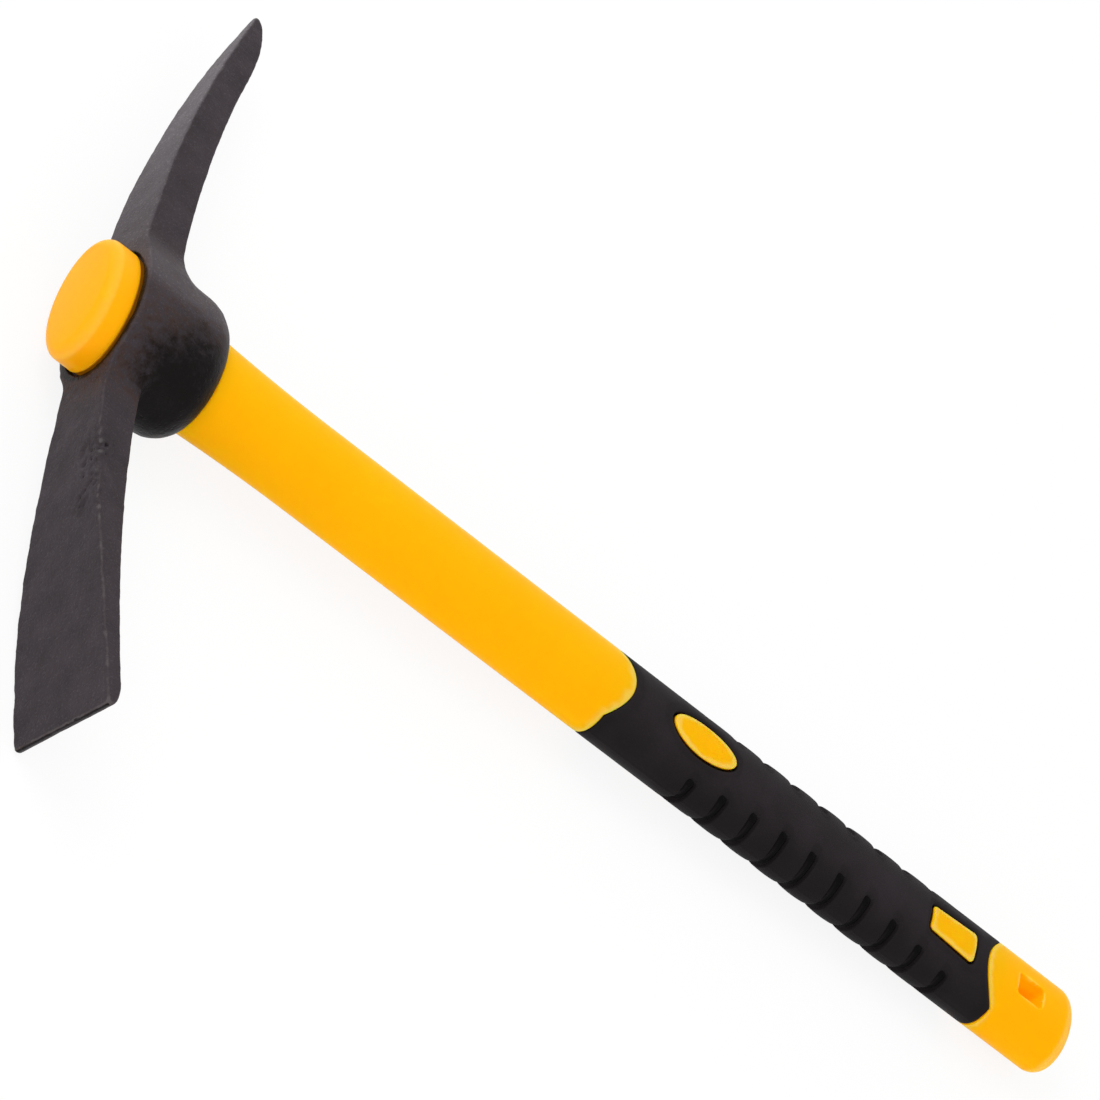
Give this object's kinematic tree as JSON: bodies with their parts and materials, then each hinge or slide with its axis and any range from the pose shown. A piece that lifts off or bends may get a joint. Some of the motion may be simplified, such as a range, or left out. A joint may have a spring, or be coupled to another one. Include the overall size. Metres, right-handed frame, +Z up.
{
  "type": "pick mattock",
  "caption": "Short one-hand pick mattock: forged steel head with a pick and a hoe blade, on an oval plastic-jacketed handle with a grooved rubber grip and a hang slot.",
  "frame": {"origin": "middle of the tool's footprint, on the ground it lies on", "axes": "+X along the handle from the head to the butt, +Y towards the pick point, +Z up through the cheeks of the head"},
  "size_m": [0.4002, 0.2587, 0.0396],
  "materials": {
    "forged_steel": "dark satin forging scale, brighter where edges are worn",
    "fibreglass": "pultruded glass fibre rod, hidden",
    "yellow_plastic": "smooth moulded polypropylene, semi-gloss",
    "black_rubber": "soft matt moulded rubber",
    "cap_plastic": "smooth moulded polypropylene, semi-gloss",
    "resin": "cured resin, hidden"
  },
  "bodies": {
    "root": {"mattock_head": "forged_steel", "handle_core": "fibreglass", "handle_jacket": "yellow_plastic", "grip_sleeve": "black_rubber", "end_cap": "cap_plastic", "eye_bond": "resin"}
  },
  "joints": []
}
